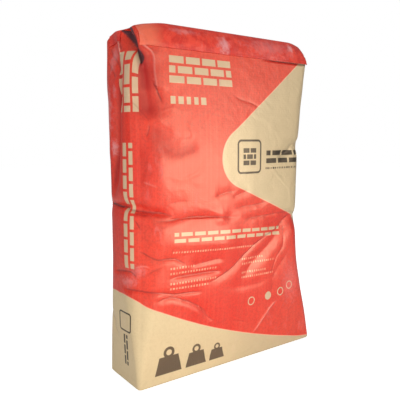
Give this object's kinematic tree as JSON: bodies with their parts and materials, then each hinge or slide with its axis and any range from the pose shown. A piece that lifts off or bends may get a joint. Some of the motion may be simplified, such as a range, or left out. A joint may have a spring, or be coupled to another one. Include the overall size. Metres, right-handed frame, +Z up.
{
  "type": "cement bag",
  "caption": "Full woven cement bag with folded block ends, a cover patch on each end and a corner filling valve, standing upright on its bottom.",
  "frame": {"origin": "on the floor, under the middle of the bag's box", "axes": "+Z up along the bag's length, +X to the right along the printed front, the front facing -Y"},
  "size_m": [0.3502, 0.13, 0.5084],
  "materials": {
    "sack_film": "woven polypropylene under a printed film, satin, creased and dusty",
    "patch_film": "woven polypropylene under a printed film, satin, scuffed",
    "kraft_cloth": "woven polypropylene under a kraft-coloured film, satin",
    "sleeve_cloth": "woven polypropylene, matt, dusty"
  },
  "bodies": {
    "root": {"sack": "sack_film", "top_patch": "patch_film", "bottom_patch": "kraft_cloth", "valve_sleeve": "sleeve_cloth"}
  },
  "joints": []
}
